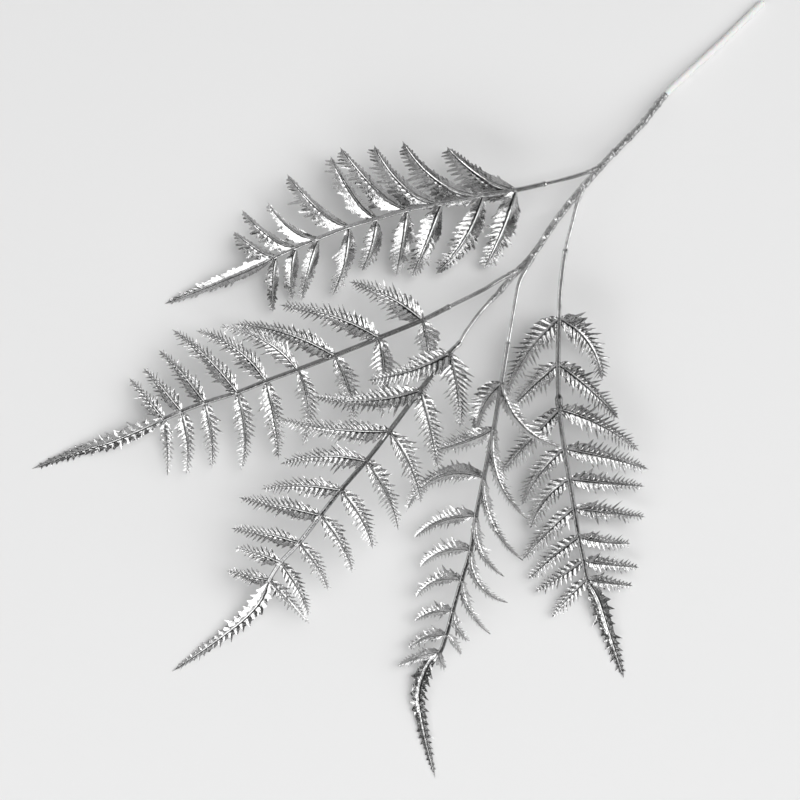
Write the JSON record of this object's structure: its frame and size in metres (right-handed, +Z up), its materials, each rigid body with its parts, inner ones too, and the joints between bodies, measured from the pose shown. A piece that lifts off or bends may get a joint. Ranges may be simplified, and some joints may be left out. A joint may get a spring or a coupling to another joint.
{
  "type": "artificial silver fern spray",
  "caption": "Decorative spray of moulded silver fern fronds with toothed leaflets, on coated wires taped into one stem, lying down as cut.",
  "frame": {"origin": "centre of the bounding box at the surface it lies on", "axes": "+Y along the stem towards its cut end, +X across it, +Z up"},
  "size_m": [0.4802, 0.7127, 0.0677],
  "materials": {
    "frond_silver": "moulded plastic with a bright metallic silver coating, finely wrinkled",
    "wire_silver": "steel wire with a silver coating",
    "tape_silver": "silver stem tape, wound and slightly crumpled",
    "tail_plastic": "pale smooth plastic sleeve",
    "core_steel": "plain drawn steel wire, cut end"
  },
  "bodies": {
    "root": {"stem_tail": "tail_plastic", "stem_wrap": "tape_silver", "stem_core": "core_steel", "branch_wire_1": "wire_silver", "branch_wire_2": "wire_silver", "branch_wire_3": "wire_silver", "branch_wire_4": "wire_silver", "branch_wire_5": "wire_silver", "frond_1": "frond_silver", "frond_2": "frond_silver", "frond_3": "frond_silver", "frond_4": "frond_silver", "frond_5": "frond_silver"}
  },
  "joints": []
}
